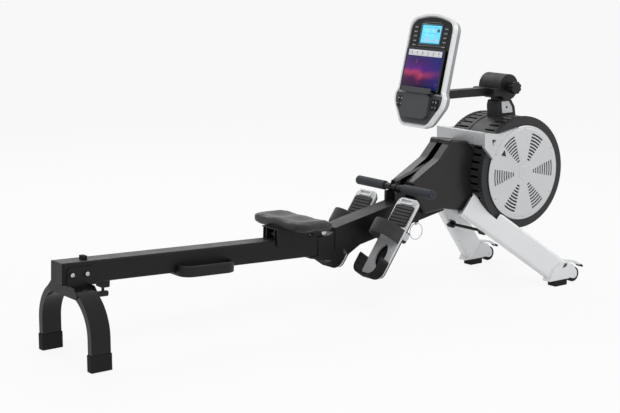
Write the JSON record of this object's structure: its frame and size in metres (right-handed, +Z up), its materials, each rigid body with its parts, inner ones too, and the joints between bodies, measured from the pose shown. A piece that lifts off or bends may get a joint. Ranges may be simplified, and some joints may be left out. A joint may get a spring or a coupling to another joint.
{
  "type": "rowing machine",
  "caption": "Folding rowing machine with sliding seat, pivoting footplates, pull handle, vented fan drum, splayed front legs and tilting console.",
  "frame": {"origin": "on the floor, under the middle of the machine's box", "axes": "+Z up, +X from the rear leg to the fan drum, +Y the rower's left"},
  "size_m": [2.197, 0.518, 1.0656],
  "materials": {
    "black_frame": "matte",
    "gloss_black": "gloss",
    "silver_frame": "satin",
    "silver_trim": "satin",
    "disc_silver": "satin",
    "footplate_metal": "brushed",
    "steel": "brushed",
    "flywheel_steel": "satin",
    "drum_plastic": "satin",
    "shroud_plastic": "satin",
    "black_plastic": "textured",
    "rubber": "matte",
    "grip_foam": "soft matte",
    "seat_cover": "soft sheen",
    "strap_webbing": "woven",
    "toe_rubber": "ribbed",
    "console_white": "gloss",
    "console_grey": "satin",
    "fascia_black": "gloss",
    "display_blue": "lit display",
    "tablet_glass": "glossy screen",
    "rest_grey": "matte"
  },
  "bodies": {
    "front_frame": {"hinge_bracket": "black_frame", "hinge_pin": "steel", "front_beam": "black_frame", "pedal_axle": "steel", "handle_cradle": "black_plastic", "drum_hoop": "drum_plastic", "fan_housings": "drum_plastic", "fan_covers": "disc_silver", "steel_axles": "steel", "magnet_brake": "steel", "yoke_trim": "silver_trim", "front_legs": "silver_frame", "leg_tie_rod": "black_frame", "wheel_brackets": "silver_frame", "front_foot_rubbers": "rubber", "left_shroud": "shroud_plastic", "right_shroud": "shroud_plastic", "strap_guide": "shroud_plastic", "centre_frame": "black_frame", "console_mast": "black_plastic", "mast_plates": "silver_trim", "pull_strap": "strap_webbing"},
    "rail": {"seat_rail": "black_frame", "rail_end_cap": "black_plastic", "seat_stops": "rubber", "rear_leg_arch": "gloss_black", "rear_leg_saddle": "black_frame", "rear_foot_caps": "rubber", "storage_lock": "black_plastic", "fold_handle": "black_plastic", "rail_hinge_leaf": "black_frame"},
    "seat": {"seat_pad": "seat_cover", "seat_carriage": "black_frame"},
    "front_roller": {"front_seat_roller": "black_plastic"},
    "rear_roller": {"rear_seat_roller": "black_plastic"},
    "handle": {"handle_bar": "black_frame", "handle_grips": "grip_foam"},
    "reel": {"strap_reel": "black_plastic"},
    "flywheel": {"fan_wheel": "flywheel_steel"},
    "left_pedal": {"left_footplate": "footplate_metal", "left_pedal_shell": "black_plastic", "left_toe_pad": "toe_rubber", "left_foot_strap": "strap_webbing"},
    "right_pedal": {"right_footplate": "footplate_metal", "right_pedal_shell": "black_plastic", "right_toe_pad": "toe_rubber", "right_foot_strap": "strap_webbing"},
    "left_wheel": {"left_transport_wheel": "rubber"},
    "right_wheel": {"right_transport_wheel": "rubber"},
    "arm": {"console_arm": "black_plastic"},
    "knob": {"console_knob": "black_plastic"},
    "console": {"console_bezel": "console_white", "console_back": "console_grey", "console_fascia": "fascia_black", "console_display": "display_blue", "tablet": "tablet_glass", "tablet_rest": "rest_grey"},
    "left_key": {"left_key": "black_plastic"},
    "right_key": {"right_key": "black_plastic"},
    "lock_pin": {"lock_pin": "steel"}
  },
  "joints": [
    {"name": "rail_fold", "type": "hinge", "parent": "front_frame", "child": "rail", "pos_m": [-0.0425, 0, 0.305], "axis": [0, -1, 0], "range_deg": [-90, 0]},
    {"name": "seat_slide", "type": "slide", "parent": "rail", "child": "seat", "axis": [0.9993, 0, -0.0384], "range_m": [-0.7, 0]},
    {"name": "front_roller_spin", "type": "hinge", "parent": "seat", "child": "front_roller", "pos_m": [-0.13682, 0, 0.31061], "axis": [0, 1, 0], "range_deg": [-3000, 60]},
    {"name": "rear_roller_spin", "type": "hinge", "parent": "seat", "child": "rear_roller", "pos_m": [-0.22475, 0, 0.31399], "axis": [0, 1, 0], "range_deg": [-3000, 60]},
    {"name": "handle_pull", "type": "slide", "parent": "front_frame", "child": "handle", "axis": [-0.9903, 0, 0.1392], "range_m": [0, 0.7], "deforming": ["pull_strap"]},
    {"name": "reel_spin", "type": "hinge", "parent": "front_frame", "child": "reel", "pos_m": [0.6185, 0, 0.504], "axis": [0, 1, 0], "range_deg": [-1300, 10]},
    {"name": "flywheel_spin", "type": "hinge", "parent": "front_frame", "child": "flywheel", "pos_m": [0.8765, 0, 0.442], "axis": [0, 1, 0], "continuous": true},
    {"name": "left_pedal_tilt", "type": "hinge", "parent": "front_frame", "child": "left_pedal", "pos_m": [0.23697, 0.12, 0.27334], "axis": [0, 1, 0], "range_deg": [0, 20]},
    {"name": "right_pedal_tilt", "type": "hinge", "parent": "front_frame", "child": "right_pedal", "pos_m": [0.23697, -0.12, 0.27334], "axis": [0, 1, 0], "range_deg": [0, 20]},
    {"name": "left_wheel_spin", "type": "hinge", "parent": "front_frame", "child": "left_wheel", "pos_m": [1.0485, 0.24, 0.034], "axis": [0, 1, 0], "continuous": true},
    {"name": "right_wheel_spin", "type": "hinge", "parent": "front_frame", "child": "right_wheel", "pos_m": [1.0485, -0.24, 0.034], "axis": [0, 1, 0], "continuous": true},
    {"name": "arm_tilt", "type": "hinge", "parent": "front_frame", "child": "arm", "pos_m": [0.8565, 0, 0.773], "axis": [0, 1, 0], "range_deg": [-5, 20]},
    {"name": "knob_turn", "type": "hinge", "parent": "front_frame", "child": "knob", "pos_m": [0.8565, -0.09, 0.773], "axis": [0, 1, 0], "continuous": true},
    {"name": "console_tilt", "type": "hinge", "parent": "arm", "child": "console", "pos_m": [0.5155, 0, 0.7575], "axis": [0, 1, 0], "range_deg": [-15, 20]},
    {"name": "left_key_press", "type": "slide", "parent": "console", "child": "left_key", "axis": [0.9724, 0, -0.2334], "range_m": [0, 0.0015], "stiffness_N_per_m": 400, "springref_m": -0.002},
    {"name": "right_key_press", "type": "slide", "parent": "console", "child": "right_key", "axis": [0.9724, 0, -0.2334], "range_m": [0, 0.0015], "stiffness_N_per_m": 400, "springref_m": -0.002},
    {"name": "lock_pin_pull", "type": "slide", "parent": "front_frame", "child": "lock_pin", "axis": [0, 0, -1], "range_m": [0, 0.012], "stiffness_N_per_m": 800, "springref_m": -0.004}
  ],
  "couplings": [
    {"joint": "front_roller_spin", "follows": "seat_slide", "rad_per_m": 71.429},
    {"joint": "rear_roller_spin", "follows": "seat_slide", "rad_per_m": 71.429},
    {"joint": "reel_spin", "follows": "handle_pull", "rad_per_m": -29.412}
  ]
}
